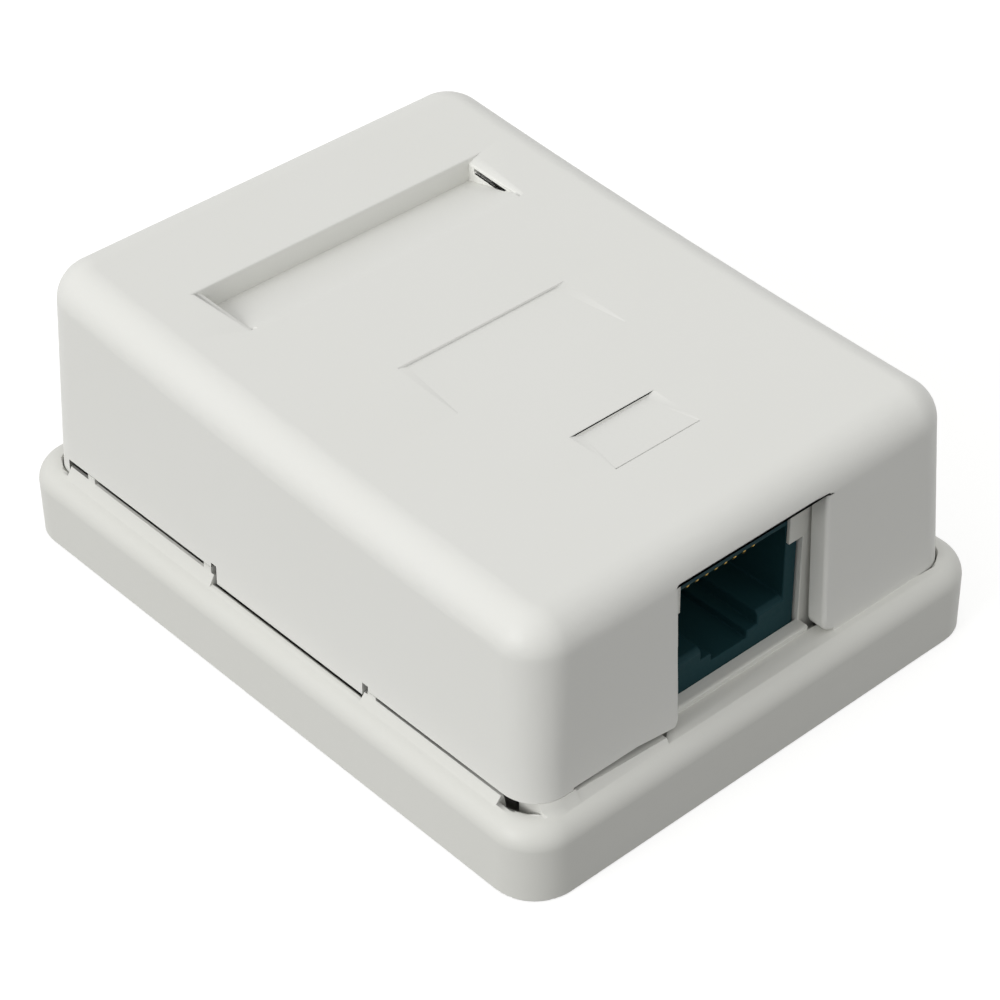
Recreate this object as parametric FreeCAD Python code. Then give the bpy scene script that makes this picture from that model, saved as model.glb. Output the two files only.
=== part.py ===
import FreeCAD, Part
import math
import os

# Surface mount jack box for one 8P8C keystone jack, lying on its back as it is stored and packed.
# Frame: origin at the centre of the base's underside, X along the front, Y from front to back, Z up.
# All sizes in millimetres.

# ---- base tray ----
base_width = 50.0
base_length = 64.5
base_corner_r = 4.0
rim_height = 7.0
rim_wall = 1.75
shoulder_r = 2.0
floor_thickness = 2.2
bottom_edge_r = 0.12
lip_thick = 1.2              # lip that rises inside the rim, up to the cover's face
lip_top_thick = 0.25
lip_foot = 0.65              # how far its outside spreads over the shoulder
lip_back_rise = 0.82         # its top above the rim, behind the side knock-outs
lip_front_rise = 0.53        # and in front of them
lip_corner_rise = 0.66       # and beside the front left corner, falling towards the opening
lip_end_rise = 0.35
lip_end_gap = 0.3            # from the lip's ends to the cover's full-depth walls
lip_end = -9.6               # where the front left lip stops beside the opening

# ---- cover shell ----
cover_wall = 1.75
cover_clearance = 0.12       # cover's wall to the inside of the rim
cover_draft = 2.0            # degrees, every outer wall leans in as it rises
cover_corner_r = 3.2         # upright corners at the rim
cover_corner_growth = 0.04   # and how much rounder they get for each millimetre up
cover_top_r = 3.3
top_front_height = 23.8      # top surface where it meets the plane of the front wall
top_back_height = 27.2       # and of the back wall
top_sag = 0.63               # how far the top dips below the straight line between them
skirt_depth = 0.6            # how far the full walls reach down behind the rim
back_reveal = 1.38           # side walls' edge above the rim, behind the knock-outs
front_reveal = 0.85          # and in front of them
corner_reveal = 1.05         # front wall's edge above the rim, beside the left corner
corner_reveal_end = -12.5    # where it starts to close towards the opening
foot_reveal = 0.35           # and its height there
side_gap_back = 27.3         # where the side gap ends towards the back

# ---- front opening and sill ----
opening_half = 7.95
lintel_height = 21.0
jamb_edge_r = 0.35
opening_foot_r = 1.2
sill_height = 8.3
sill_depth = 1.5
sill_edge_r = 0.4
sill_side_gap = 0.3

# ---- side cable knock-outs ----
knockout_front = -10.95
knockout_back = 7.2
knockout_gap = 0.08          # above the rim
knockout_top = 19.0
score_width = 0.8
score_depth = 0.9
notch_width = 0.7
notch_rise = 0.45
rear_knockout_half = 8.0

# ---- recesses in the top of the cover ----
label_back = 18.3
label_front = 11.7
label_depth = 2.2
label_half = 14.35
label_flare_back = 1.05      # sloped edge at each side, at the back
label_flare_front = 0.4      # and at the front
label_flare_depth = 0.45
label_pad = 1.3              # plastic left under the label recess
label_pad_overlap = 1.0      # how far the thicker plastic starts in front of the recess
label_slot_drop = 0.6        # side slot that holds a label's edge, below the top surface
label_slot_height = 0.4
label_slot_reach = 0.9
label_slot_wall = 0.4        # wall between the recess and the window behind the slot
label_slot_back = 17.6
label_slot_front = 12.1
step_depth = 0.27
step_side = 1.0
middle_step_half = 8.9
middle_step_back = 0.6
middle_step_front = -6.6
front_step_half = 4.4
front_step_back = -14.4
front_step_front = -19.4

# ---- jack bay in the base ----
bay_clearance = 0.15
bay_wall = 1.8
bay_front_gap = 0.12         # behind the inside of the cover's front wall, at the bay's top
bay_depth = 11.4
bay_height = 20.9
tab_width = 1.55
tab_bottom = 16.0
tab_thickness = 0.3
foot_clearance = 0.4         # bay's feet to the cover's lower edge
rail_depth = 0.45
rail_width = 1.1
rail_from_back = 0.5
rest_rib_width = 1.2
rest_rib_x = 4.2

# ---- base details ----
gusset_width = 0.95
gusset_reach = 2.4
gusset_drop = 0.03           # below the edge of the cover that stands on it
gusset_back_places = (24.1, 8.35)
gusset_front_place = -12.1
corner_rest_left = -21.9
corner_rest_right = -19.0
snap_post_width = 5.0
snap_post_thick = 1.5
snap_post_height = 12.4
snap_nose_bottom = 2.2       # from the post's top down to where its nose starts
snap_nose_slope = 0.5
snap_nose = 0.45
snap_gap = 0.25              # nose to the inside of the cover's wall
catch_depth = 0.18
catch_height = 0.9
catch_drop = 0.5             # below the posts' noses
hold_down_x = 5.0
hold_down_thick = 1.2
hold_down_length = 4.0
hold_down_from_back = 1.5
hold_down_gap = 0.3
snap_places = (17.0, -19.5)
screw_spacing = 30.0
screw_hole_r = 2.1
screw_sink_r = 3.7
screw_sink_depth = 1.2
screw_y = 4.0
anchor_places = (14.0, 22.0)
anchor_width = 9.0
anchor_length = 3.0
anchor_height = 3.2
anchor_tunnel_width = 5.4
anchor_tunnel_height = 1.8
pad_width = 24.0
pad_length = 46.0
pad_pocket = 1.0
pad_edge_gap = 0.3
liner_thickness = 0.15

# ---- jack ----
jack_half = 7.3
jack_bottom = 5.0
jack_height = 15.6
jack_face_gap = 0.32         # jack's face behind the front of the bay walls
housing_length = 13.0
housing_edge_r = 0.35
port_half = 5.9
port_top = 17.5
port_height = 6.9
port_depth = 11.7
port_lead_in = 0.35
slot1_half = 3.1
slot1_height = 1.2
slot2_half = 1.95
slot2_height = 0.75
latch_tongue_half = 2.6
latch_slit = 0.7
latch_length = 9.0
latch_ridge = 0.45
contact_count = 8
contact_pitch = 1.02
contact_r = 0.23
contact_run_height = 17.2
contact_bend_from_face = 1.3
contact_bend_r = 0.55
contact_tip_back = 9.4       # tip behind the face
contact_tip_height = 13.5
carrier_half = 4.7
carrier_top_thick = 0.9
carrier_fit = 0.12
comb_thick = 1.3
comb_bottom = 12.9
board_thick = 1.2
board_half = 7.0
board_margin = 0.4
tower_inner = 2.9
tower_outer = 7.9
tower_length = 10.0
tower_pitch = 3.5
tower_count = 4
tower_slot = 1.0
tower_slot_depth = 6.0
clip_thick = 0.5
clip_half_height = 1.0
clip_slit = 0.32
clip_slit_depth = 3.6
clip_room = 0.12
clip_from_tip = 3.6
cap_lip_gap = 0.05
cap_thick = 1.2
cap_rib_thick = 0.7
cap_rib_reach = 3.0
cap_lip = 0.7
cap_lip_reach = 2.4

# ---- places worked out from the sizes above ----
half_width = base_width / 2
half_length = base_length / 2
cover_half_x = half_width - rim_wall - cover_clearance     # at the height of the rim
cover_half_y = half_length - rim_wall - cover_clearance
draft_rise = math.tan(math.radians(cover_draft))
side_edge_back = rim_height + back_reveal
side_edge_front = rim_height + front_reveal
skirt_edge = rim_height - skirt_depth
jack_top = jack_bottom + jack_height
bay_half = jack_half + bay_clearance
bay_front = -(cover_half_y - cover_wall - draft_rise * (bay_height - rim_height) - bay_front_gap)
face_y = bay_front + jack_face_gap
housing_back = face_y + housing_length
board_back = housing_back + board_thick
tower_back = board_back + tower_length
tower_middle = (tower_inner + tower_outer) / 2
contact_places = [(i - (contact_count - 1) / 2) * contact_pitch for i in range(contact_count)]
slot_heights = [jack_bottom + jack_height / 2 + (i - (tower_count - 1) / 2) * tower_pitch
                for i in range(tower_count)]
EDGE = 1.0                   # how far cutting shapes run past the faces they cut
JOIN = 0.2                   # how far joined shapes run into each other


def vec(x, y, z):
    return FreeCAD.Vector(x, y, z)


def box(x0, x1, y0, y1, z0, z1):
    """Box between two corners."""
    return Part.makeBox(x1 - x0, y1 - y0, z1 - z0, vec(x0, y0, z0))


def mirror_pair(shape):
    """The shape and its mirror image across the middle plane."""
    return [shape, shape.mirror(vec(0, 0, 0), vec(1, 0, 0))]


def fuse_all(shape, others):
    return shape.multiFuse(others).removeSplitter()


def polygon_prism(points, direction):
    """Flat polygon through the points, pushed along the direction."""
    return Part.Face(Part.makePolygon(points + points[:1])).extrude(direction)


def rounded_rectangle(half_x, half_y, corner_r, z):
    """Closed wire of four lines and four arcs."""
    edges = []
    centres = [(1, 1), (-1, 1), (-1, -1), (1, -1)]
    for turn, (sx, sy) in enumerate(centres):
        centre = vec(sx * (half_x - corner_r), sy * (half_y - corner_r), z)
        start = turn * 90
        edges.append(Part.makeCircle(corner_r, centre, vec(0, 0, 1), start, start + 90))
    lines = []
    for first, second in zip(edges, edges[1:] + edges[:1]):
        lines.append(Part.makeLine(first.Vertexes[-1].Point, second.Vertexes[0].Point))
    return Part.Wire(Part.__sortEdges__(edges + lines))


def rounded_block(half_x, half_y, corner_r, z0, z1):
    return Part.Face(rounded_rectangle(half_x, half_y, corner_r, z0)).extrude(vec(0, 0, z1 - z0))


def top_height(y):
    """Height of the cover's slightly hollow, rising top surface, before its edges are rounded."""
    part_way = y / cover_half_y
    straight = (top_front_height + top_back_height) / 2 + (top_back_height - top_front_height) / 2 * part_way
    return straight - top_sag * (1 - part_way ** 2)


def side_profile(drop, reach):
    """Face in the YZ plane under the top surface, lowered by drop and reaching past the walls."""
    front, back, floor = -cover_half_y - reach, cover_half_y + reach, skirt_edge - EDGE
    on_top = [vec(0, y, top_height(y) - drop) for y in (front, 0, back)]
    edges = [
        Part.Arc(*on_top).toShape(),
        Part.makeLine(on_top[2], vec(0, back, floor)),
        Part.makeLine(vec(0, back, floor), vec(0, front, floor)),
        Part.makeLine(vec(0, front, floor), on_top[0]),
    ]
    return Part.Face(Part.Wire(edges))


def cover_form(inset):
    """Solid bounded by the cover's walls and top, moved in by inset, with its top edges rounded."""
    low, high = skirt_edge - EDGE, top_height(cover_half_y) + EDGE
    sections = []
    for z in (low, high):
        lean = draft_rise * (z - rim_height)
        corner_r = cover_corner_r + cover_corner_growth * (z - rim_height)
        sections.append(rounded_rectangle(cover_half_x - inset - lean, cover_half_y - inset - lean,
                                          max(corner_r - inset, 0.8), z))
    walls = Part.makeLoft(sections, True, True)
    profile = side_profile(inset, EDGE)
    profile.translate(vec(-half_width, 0, 0))
    form = walls.common(profile.extrude(vec(base_width, 0, 0)))
    rim_edges = [e for e in form.Edges if e.BoundBox.ZMin > top_front_height - inset - cover_top_r / 2]
    return form.makeFillet(max(cover_top_r - inset, 0.8), rim_edges)


def wedge_step(half, back, front):
    """Shallow recess: upright at the back, its floor rising to the surface, its sides flared."""
    zb, zf = top_height(back), top_height(front)
    up = 0.5
    bl, br = vec(-half, back, zb), vec(half, back, zb)
    fl, fr = vec(-half, front, zf), vec(half, front, zf)
    dl = vec(-half + step_side, back, zb - step_depth)
    dr = vec(half - step_side, back, zb - step_depth)
    lift = vec(0, 0, up)
    loops = [
        [dl, dr, fr, fl],
        [bl, dl, fl],
        [br, fr, dr],
        [bl, bl + lift, br + lift, br, dr, dl],
        [bl, fl, fl + lift, bl + lift],
        [br, br + lift, fr + lift, fr],
        [fl, fr, fr + lift, fl + lift],
        [bl + lift, fl + lift, fr + lift, br + lift],
    ]
    shell = Part.Shell([Part.Face(Part.makePolygon(loop + loop[:1])) for loop in loops])
    solid = Part.Solid(shell)
    if solid.Volume < 0:
        solid.reverse()
    return solid


def label_flare():
    """Sloped edge along the right side of the label recess."""
    sections = []
    for y, width in ((label_back, label_flare_back), (label_front, label_flare_front)):
        z = top_height(y)
        depth = label_flare_depth * width / label_flare_back
        corners = [
            vec(label_half - JOIN, y, z - depth),
            vec(label_half, y, z - depth),
            vec(label_half + width, y, z),
            vec(label_half + width, y, z + EDGE),
            vec(label_half - JOIN, y, z + EDGE),
        ]
        sections.append(Part.makePolygon(corners + corners[:1]))
    return Part.makeLoft(sections, True, True)


def label_slot():
    """Slot under the right edge of the label recess, open to the inside of the cover behind its wall."""
    back, front = label_slot_back, label_slot_front
    top_back, top_front = top_height(back) - label_slot_drop, top_height(front) - label_slot_drop
    slot = polygon_prism([
        vec(label_half - JOIN, back, top_back),
        vec(label_half - JOIN, back, top_back - label_slot_height),
        vec(label_half - JOIN, front, top_front - label_slot_height),
        vec(label_half - JOIN, front, top_front),
    ], vec(label_slot_reach + JOIN, 0, 0))
    window = box(label_half + label_slot_wall, label_half + label_slot_reach, front, back,
                 top_front - 2 * label_depth, top_front - label_slot_height / 2)
    return slot.fuse(window).removeSplitter()


def label_recess():
    """Label recess: a pocket whose floor ramps up to the front, with flared sides and side slots."""
    zb, zf = top_height(label_back), top_height(label_front)
    pocket = polygon_prism([
        vec(-label_half, label_back, zb + EDGE),
        vec(-label_half, label_back, zb - label_depth),
        vec(-label_half, label_front, zf),
        vec(-label_half, label_front, zf + EDGE),
    ], vec(2 * label_half, 0, 0))
    return fuse_all(pocket, mirror_pair(label_flare()) + mirror_pair(label_slot()))


def label_floor():
    """Thicker plastic inside the cover, under the label recess."""
    front, back = label_front - label_pad_overlap, label_back + label_pad
    half = label_half + label_slot_reach + label_pad_overlap
    return polygon_prism([
        vec(-half, front, top_height(front) - cover_wall / 2),
        vec(-half, front, top_height(front) - cover_wall),
        vec(-half, label_front, top_height(label_front) - cover_wall),
        vec(-half, back, top_height(back) - label_depth - label_pad),
        vec(-half, back, top_height(back) - cover_wall / 2),
    ], vec(2 * half, 0, 0))


def opening_cut():
    """Front opening through the cover's wall, with its lower corners rounded away."""
    front, back = -half_length, bay_front - 0.2 + EDGE
    hole = box(-opening_half, opening_half, front, back, skirt_edge - EDGE, lintel_height)
    foot_half = opening_half + opening_foot_r
    foot = box(-foot_half, foot_half, front, back, skirt_edge - EDGE, rim_height + opening_foot_r)
    rounds = [Part.makeCylinder(opening_foot_r, back - front, vec(sx * foot_half, front,
              rim_height + opening_foot_r), vec(0, 1, 0)) for sx in (-1, 1)]
    return hole.fuse(foot.cut(Part.makeCompound(rounds))).removeSplitter()


def side_edge_cut():
    """What is taken off the lower edge of one side wall, over the knock-out and beside it."""
    outer = half_width
    inner = cover_half_x - cover_wall - EDGE
    low = skirt_edge - EDGE
    front = -(cover_half_y - cover_corner_r)
    parts = [
        box(-outer, -inner, front, knockout_front, low, side_edge_front),
        box(-outer, -inner, knockout_back, side_gap_back, low, side_edge_back),
        box(-outer, -inner, knockout_front, knockout_back, low, rim_height + knockout_gap),
        box(-outer, -inner, knockout_back, knockout_back + notch_width, low,
            side_edge_back + notch_rise),
        box(-outer, -inner, knockout_front - notch_width, knockout_front, low,
            side_edge_front + notch_rise),
    ]
    return fuse_all(parts[0], parts[1:])


def front_left_cut():
    """Shadow gap round the front left corner, closing towards the opening."""
    low = skirt_edge - EDGE
    stop = -(opening_half - EDGE)
    return polygon_prism([
        vec(-half_width, -half_length, low),
        vec(-half_width, -half_length, side_edge_front),
        vec(corner_rest_right, -half_length, side_edge_front),
        vec(corner_rest_right, -half_length, rim_height + corner_reveal),
        vec(corner_reveal_end, -half_length, rim_height + corner_reveal),
        vec(stop, -half_length, rim_height + foot_reveal),
        vec(stop, -half_length, low),
    ], vec(0, half_length - (cover_half_y - cover_corner_r), 0))


def score_lines():
    """Grooves inside the walls that let the knock-outs break away."""
    inner = cover_half_x - cover_wall
    deep = inner + score_depth
    back_inner = cover_half_y - cover_wall
    back_deep = back_inner + score_depth
    low = skirt_edge - EDGE
    grooves = []
    for y in (knockout_front, knockout_back - score_width):
        grooves.append(box(inner - EDGE - 1, deep - draft_rise * 6, y, y + score_width, low, knockout_top))
    grooves.append(box(inner - EDGE - 1, deep - draft_rise * 10, knockout_front, knockout_back,
                       knockout_top - score_width, knockout_top))
    side = fuse_all(grooves[0], grooves[1:])
    rear = [box(x, x + score_width, back_inner - EDGE - 1, back_deep - draft_rise * 6, low, knockout_top)
            for x in (-rear_knockout_half, rear_knockout_half - score_width)]
    rear.append(box(-rear_knockout_half, rear_knockout_half, back_inner - EDGE - 1,
                    back_deep - draft_rise * 10, knockout_top - score_width, knockout_top))
    return mirror_pair(side) + rear


def snap_catches():
    """Low ridges inside the side walls that the base's snap posts hold."""
    ridges = []
    inner = cover_half_x - cover_wall
    for y in snap_places:
        z = snap_post_height - snap_nose_bottom - catch_drop
        x = inner - draft_rise * (z - rim_height)
        start = y - snap_post_width / 2
        ridges += mirror_pair(polygon_prism([
            vec(x + 2 * JOIN, start, z - catch_height),
            vec(x - catch_depth, start, z - catch_height / 3),
            vec(x - catch_depth, start, z),
            vec(x + 2 * JOIN, start, z + catch_height / 3),
        ], vec(0, snap_post_width, 0)))
    return ridges


def hold_down_ribs():
    """Two ribs under the cover's top that keep the jack down in its bay."""
    back = housing_back - hold_down_from_back
    front = back - hold_down_length
    bottom = jack_top + hold_down_gap
    rib = polygon_prism([
        vec(hold_down_x, front, bottom),
        vec(hold_down_x, back, bottom),
        vec(hold_down_x, back, top_height(back) - cover_wall / 2),
        vec(hold_down_x, front, top_height(front) - cover_wall / 2),
    ], vec(hold_down_thick, 0, 0))
    return mirror_pair(rib)


def make_cover():
    shell = cover_form(0).cut(cover_form(cover_wall))
    shell = shell.cut(box(-base_width, base_width, -base_length, base_length, -EDGE, skirt_edge))
    shell = fuse_all(shell, [label_floor()] + hold_down_ribs() + snap_catches())
    shell = shell.cut(Part.makeCompound(mirror_pair(side_edge_cut()) + score_lines()))
    shell = shell.cut(front_left_cut())
    shell = shell.cut(opening_cut())
    jamb_edges = []
    for edge in shell.Edges:
        spread = edge.BoundBox
        on_jamb = (abs(abs(edge.CenterOfMass.x) - opening_half) < 0.01
                   and spread.ZLength > (lintel_height - rim_height) / 2)
        if on_jamb and edge.CenterOfMass.y < -(cover_half_y - cover_wall / 2):
            jamb_edges.append(edge)
    shell = shell.makeFillet(jamb_edge_r, jamb_edges)
    shell = shell.cut(label_recess())
    for half, back, front in ((middle_step_half, middle_step_back, middle_step_front),
                              (front_step_half, front_step_back, front_step_front)):
        shell = shell.cut(wedge_step(half, back, front))
    return shell


def base_tray():
    """Tray with a rounded shoulder round its rim."""
    block = rounded_block(half_width, half_length, base_corner_r, 0, rim_height)
    top_edges = [e for e in block.Edges if e.BoundBox.ZMin > rim_height - 0.01]
    block = block.makeFillet(shoulder_r, top_edges)
    bottom_edges = [e for e in block.Edges if e.BoundBox.ZMax < 0.01]
    block = block.makeFillet(bottom_edge_r, bottom_edges)
    hollow = rounded_block(half_width - rim_wall, half_length - rim_wall,
                           cover_corner_r + cover_clearance, floor_thickness, rim_height + EDGE)
    return block.cut(hollow)


def sill():
    """Raised lip in front of the jack, level with the cover's face."""
    half = opening_half - sill_side_gap
    front = -(cover_half_y + cover_clearance / 2)
    lip = box(-half, half, front - cover_clearance, front + sill_depth, floor_thickness - JOIN,
              sill_height)
    edges = [e for e in lip.Edges
             if e.CenterOfMass.y < front - cover_clearance + 0.01 and e.CenterOfMass.z > sill_height - 0.01]
    return lip.makeFillet(sill_edge_r, edges)


def bay_side():
    """Right wall of the jack bay, with its corner tab and the rail that the jack slides down."""
    low = floor_thickness - JOIN
    wall = box(bay_half, bay_half + bay_wall, bay_front, bay_front + bay_depth, low, bay_height)
    tab = box(bay_half - tab_width, bay_half + 0.1, bay_front, bay_front + tab_thickness,
              tab_bottom, bay_height)
    rail_back = bay_front + bay_depth - rail_from_back
    rail = box(bay_half - rail_depth, bay_half + 0.1, rail_back - rail_width, rail_back, low,
               bay_height - 1.0)
    foot = box(opening_half - sill_side_gap - 0.5, bay_half + bay_wall, -(half_length - rim_wall),
               bay_front + 0.1, low, skirt_edge - foot_clearance)
    buttress = polygon_prism([
        vec(bay_half + bay_wall - 0.1, bay_front + bay_depth - 1.4, low),
        vec(bay_half + bay_wall + 4.0, bay_front + bay_depth - 1.4, low),
        vec(bay_half + bay_wall - 0.1, bay_front + bay_depth - 1.4, bay_height - 4.0),
    ], vec(0, 1.4, 0))
    return fuse_all(wall, [tab, rail, foot, buttress])


def rest_ribs():
    """Ribs on the floor that the jack stands on."""
    return mirror_pair(box(rest_rib_x, rest_rib_x + rest_rib_width, face_y + 0.5, housing_back - 0.5,
                           floor_thickness - JOIN, jack_bottom))


def lip_ring(rise):
    """Ring inside the rim: its outside slopes up from the shoulder to the cover's face."""
    low, shoulder, top = floor_thickness - JOIN, rim_height - shoulder_r / 8, rim_height + rise
    inner_x, inner_y = cover_half_x - lip_thick, cover_half_y - lip_thick
    inner_r = cover_corner_r - lip_thick
    spread = lip_thick - lip_top_thick
    rim = rounded_block(inner_x + lip_thick + lip_foot, inner_y + lip_thick + lip_foot,
                        cover_corner_r + lip_foot, low, shoulder)
    slope = Part.makeLoft([
        rounded_rectangle(cover_half_x + lip_foot, cover_half_y + lip_foot, cover_corner_r + lip_foot, shoulder),
        rounded_rectangle(cover_half_x, cover_half_y, cover_corner_r, top),
    ], True, True)
    hollow = rounded_block(inner_x, inner_y, inner_r, low - EDGE, rim_height)
    bevel = Part.makeLoft([
        rounded_rectangle(inner_x, inner_y, inner_r, rim_height),
        rounded_rectangle(inner_x + spread, inner_y + spread, inner_r + spread, top),
    ], True, True)
    return rim.fuse(slope).cut(hollow).cut(bevel)


def rim_lips():
    """Lips inside the rim: on both sides behind and before the knock-outs, and along the front left."""
    low = floor_thickness - 2 * JOIN
    inner = cover_half_x - lip_thick - JOIN
    high = rim_height + 2 * lip_back_rise
    front_end = -(cover_half_y - cover_corner_r) + lip_end_gap
    back = box(inner, half_width, knockout_back + lip_end_gap, side_gap_back - lip_end_gap, low, high)
    front = box(inner, half_width, front_end, knockout_front - lip_end_gap, low, high)
    lips = mirror_pair(lip_ring(lip_back_rise).common(back))
    lips += mirror_pair(lip_ring(lip_front_rise).common(front))
    along = polygon_prism([
        vec(corner_rest_right, -half_length, low),
        vec(corner_rest_right, -half_length, rim_height + lip_corner_rise),
        vec(lip_end, -half_length, rim_height + lip_end_rise),
        vec(lip_end, -half_length, low),
    ], vec(0, half_length - cover_half_y + lip_thick + JOIN, 0))
    lips.append(lip_ring(lip_corner_rise).common(along))
    return lips


def gussets():
    """Thin ribs on the lips whose tops carry the cover's side walls, and the rest at the left corner."""
    low = floor_thickness - JOIN
    inner = cover_half_x - gusset_reach
    tops = [(y, side_edge_back - gusset_drop) for y in gusset_back_places]
    tops.append((gusset_front_place, side_edge_front - gusset_drop))
    ribs = []
    for y, top in tops:
        ribs += mirror_pair(box(inner, cover_half_x, y - gusset_width / 2, y + gusset_width / 2, low, top))
    corner = box(corner_rest_left, corner_rest_right + JOIN, -half_length, -(cover_half_y - cover_corner_r), low,
                 half_length)
    ribs.append(lip_ring(front_reveal - gusset_drop).common(corner))
    return ribs


def snap_posts():
    """Posts inside the side walls, each with a nose that holds the cover's ridge."""
    posts = []
    inner = cover_half_x - cover_wall
    for y in snap_places:
        tip = inner - draft_rise * (snap_post_height - rim_height) - snap_gap
        face = tip - snap_nose
        posts += mirror_pair(polygon_prism([
            vec(face - snap_post_thick, y - snap_post_width / 2, floor_thickness - JOIN),
            vec(face, y - snap_post_width / 2, floor_thickness - JOIN),
            vec(face, y - snap_post_width / 2, snap_post_height - snap_nose_bottom),
            vec(tip, y - snap_post_width / 2, snap_post_height - snap_nose_bottom + snap_nose_slope),
            vec(face - JOIN, y - snap_post_width / 2, snap_post_height),
            vec(face - snap_post_thick, y - snap_post_width / 2, snap_post_height),
        ], vec(0, snap_post_width, 0)))
    return posts


def tie_anchors():
    """Small bridges on the floor for a cable tie."""
    bridges = []
    for y in anchor_places:
        block = box(-anchor_width / 2, anchor_width / 2, y - anchor_length / 2, y + anchor_length / 2,
                    floor_thickness - JOIN, floor_thickness + anchor_height)
        top = [e for e in block.Edges if abs(e.CenterOfMass.z - floor_thickness - anchor_height) < 0.01
               and abs(e.CenterOfMass.x) > 1]
        block = block.makeFillet(1.0, top)
        tunnel = box(-anchor_tunnel_width / 2, anchor_tunnel_width / 2, y - anchor_length,
                     y + anchor_length, floor_thickness, floor_thickness + anchor_tunnel_height)
        bridges.append(block.cut(tunnel))
    return bridges


def screw_holes():
    """Countersunk holes through the floor, one each side of the jack."""
    holes = []
    for x in (-screw_spacing / 2, screw_spacing / 2):
        holes.append(Part.makeCylinder(screw_hole_r, floor_thickness + 2 * EDGE, vec(x, screw_y, -EDGE)))
        holes.append(Part.makeCone(screw_hole_r, screw_sink_r, screw_sink_depth,
                                   vec(x, screw_y, floor_thickness - screw_sink_depth)))
        holes.append(Part.makeCylinder(screw_sink_r, EDGE, vec(x, screw_y, floor_thickness)))
    return holes


def make_base():
    tray = base_tray()
    tray = fuse_all(tray, [sill()] + mirror_pair(bay_side()) + rest_ribs() + rim_lips() + gussets()
                    + snap_posts() + tie_anchors())
    pocket = rounded_block(pad_width / 2, pad_length / 2, 1.5, -EDGE, pad_pocket)
    return tray.cut(Part.makeCompound([pocket] + screw_holes()))


def port_cavity():
    """Mouth of the port: the plug's space and the two steps of its latch slot."""
    back = face_y + port_depth
    front = face_y - EDGE
    floor = port_top - port_height
    step = floor - slot1_height
    parts = [
        box(-port_half, port_half, front, back, floor, port_top),
        box(-slot1_half, slot1_half, front, back - 2.0, step, floor + 0.1),
        box(-slot2_half, slot2_half, front, back - 2.0, step - slot2_height, step + 0.1),
    ]
    lead = polygon_prism([
        vec(-port_half, face_y - 0.01, floor - port_lead_in),
        vec(-port_half, face_y + port_lead_in, floor),
        vec(-port_half, face_y + port_lead_in, port_top),
        vec(-port_half, face_y - 0.01, port_top + port_lead_in),
    ], vec(2 * port_half, 0, 0))
    return fuse_all(parts[0], parts[1:] + [lead])


def make_housing():
    body = box(-jack_half, jack_half, face_y, housing_back, jack_bottom, jack_top)
    long_edges = [e for e in body.Edges if e.BoundBox.YLength > 1]
    front_edges = [e for e in body.Edges if e.CenterOfMass.y < face_y + 0.01]
    body = body.makeFillet(housing_edge_r, long_edges + front_edges)
    ridge_y = housing_back - latch_length
    ridge = polygon_prism([
        vec(-latch_tongue_half, ridge_y, jack_top - 0.1),
        vec(-latch_tongue_half, ridge_y, jack_top + latch_ridge),
        vec(-latch_tongue_half, ridge_y + 0.8, jack_top + latch_ridge),
        vec(-latch_tongue_half, ridge_y + 3.0, jack_top - 0.1),
    ], vec(2 * latch_tongue_half, 0, 0))
    body = body.fuse(ridge).removeSplitter()
    slits = [box(sx * (latch_tongue_half + latch_slit / 2) - latch_slit / 2,
                 sx * (latch_tongue_half + latch_slit / 2) + latch_slit / 2,
                 ridge_y - latch_slit, housing_back + EDGE, jack_top - 1.4, jack_top + EDGE)
             for sx in (-1, 1)]
    slits.append(box(-latch_tongue_half - latch_slit, latch_tongue_half + latch_slit,
                     ridge_y - latch_slit, ridge_y, jack_top - 1.4, jack_top + EDGE))
    carrier_room = box(-carrier_half - carrier_fit, carrier_half + carrier_fit,
                       face_y + contact_bend_from_face - contact_bend_r, housing_back + EDGE,
                       port_top - 0.1, port_top + carrier_top_thick + carrier_fit)
    comb_room = box(-carrier_half - carrier_fit, carrier_half + carrier_fit, face_y + port_depth - 0.1,
                    housing_back + EDGE, comb_bottom - carrier_fit, port_top)
    rail_back = bay_front + bay_depth - rail_from_back
    groove = box(bay_half - rail_depth - 0.15, jack_half + EDGE, rail_back - rail_width - 0.15,
                 rail_back + 0.15, jack_bottom - EDGE, jack_top + EDGE)
    return body.cut(Part.makeCompound([port_cavity(), carrier_room, comb_room] + slits)).cut(
        Part.makeCompound(mirror_pair(groove)))


def make_carrier():
    """Comb insert: a plate over the contact wires and a grooved block for their tips."""
    plate = box(-carrier_half, carrier_half, face_y + contact_bend_from_face + contact_bend_r,
                housing_back, port_top + 0.02, port_top + carrier_top_thick)
    comb_back = housing_back
    comb_front = face_y + contact_tip_back - 0.4
    block_top = contact_run_height - contact_r - 0.05
    block = box(-carrier_half, carrier_half, comb_front, comb_back, comb_bottom, block_top)
    webs = mirror_pair(box(carrier_half - 0.7, carrier_half, comb_front, comb_back, block_top - 0.1,
                           port_top + 0.1))
    insert = fuse_all(plate, [block] + webs)
    grooves = [box(x - 0.34, x + 0.34, comb_front - EDGE, comb_front + comb_thick, comb_bottom - EDGE,
                   contact_tip_height + 1.6) for x in contact_places]
    return insert.cut(Part.makeCompound(grooves))


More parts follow.
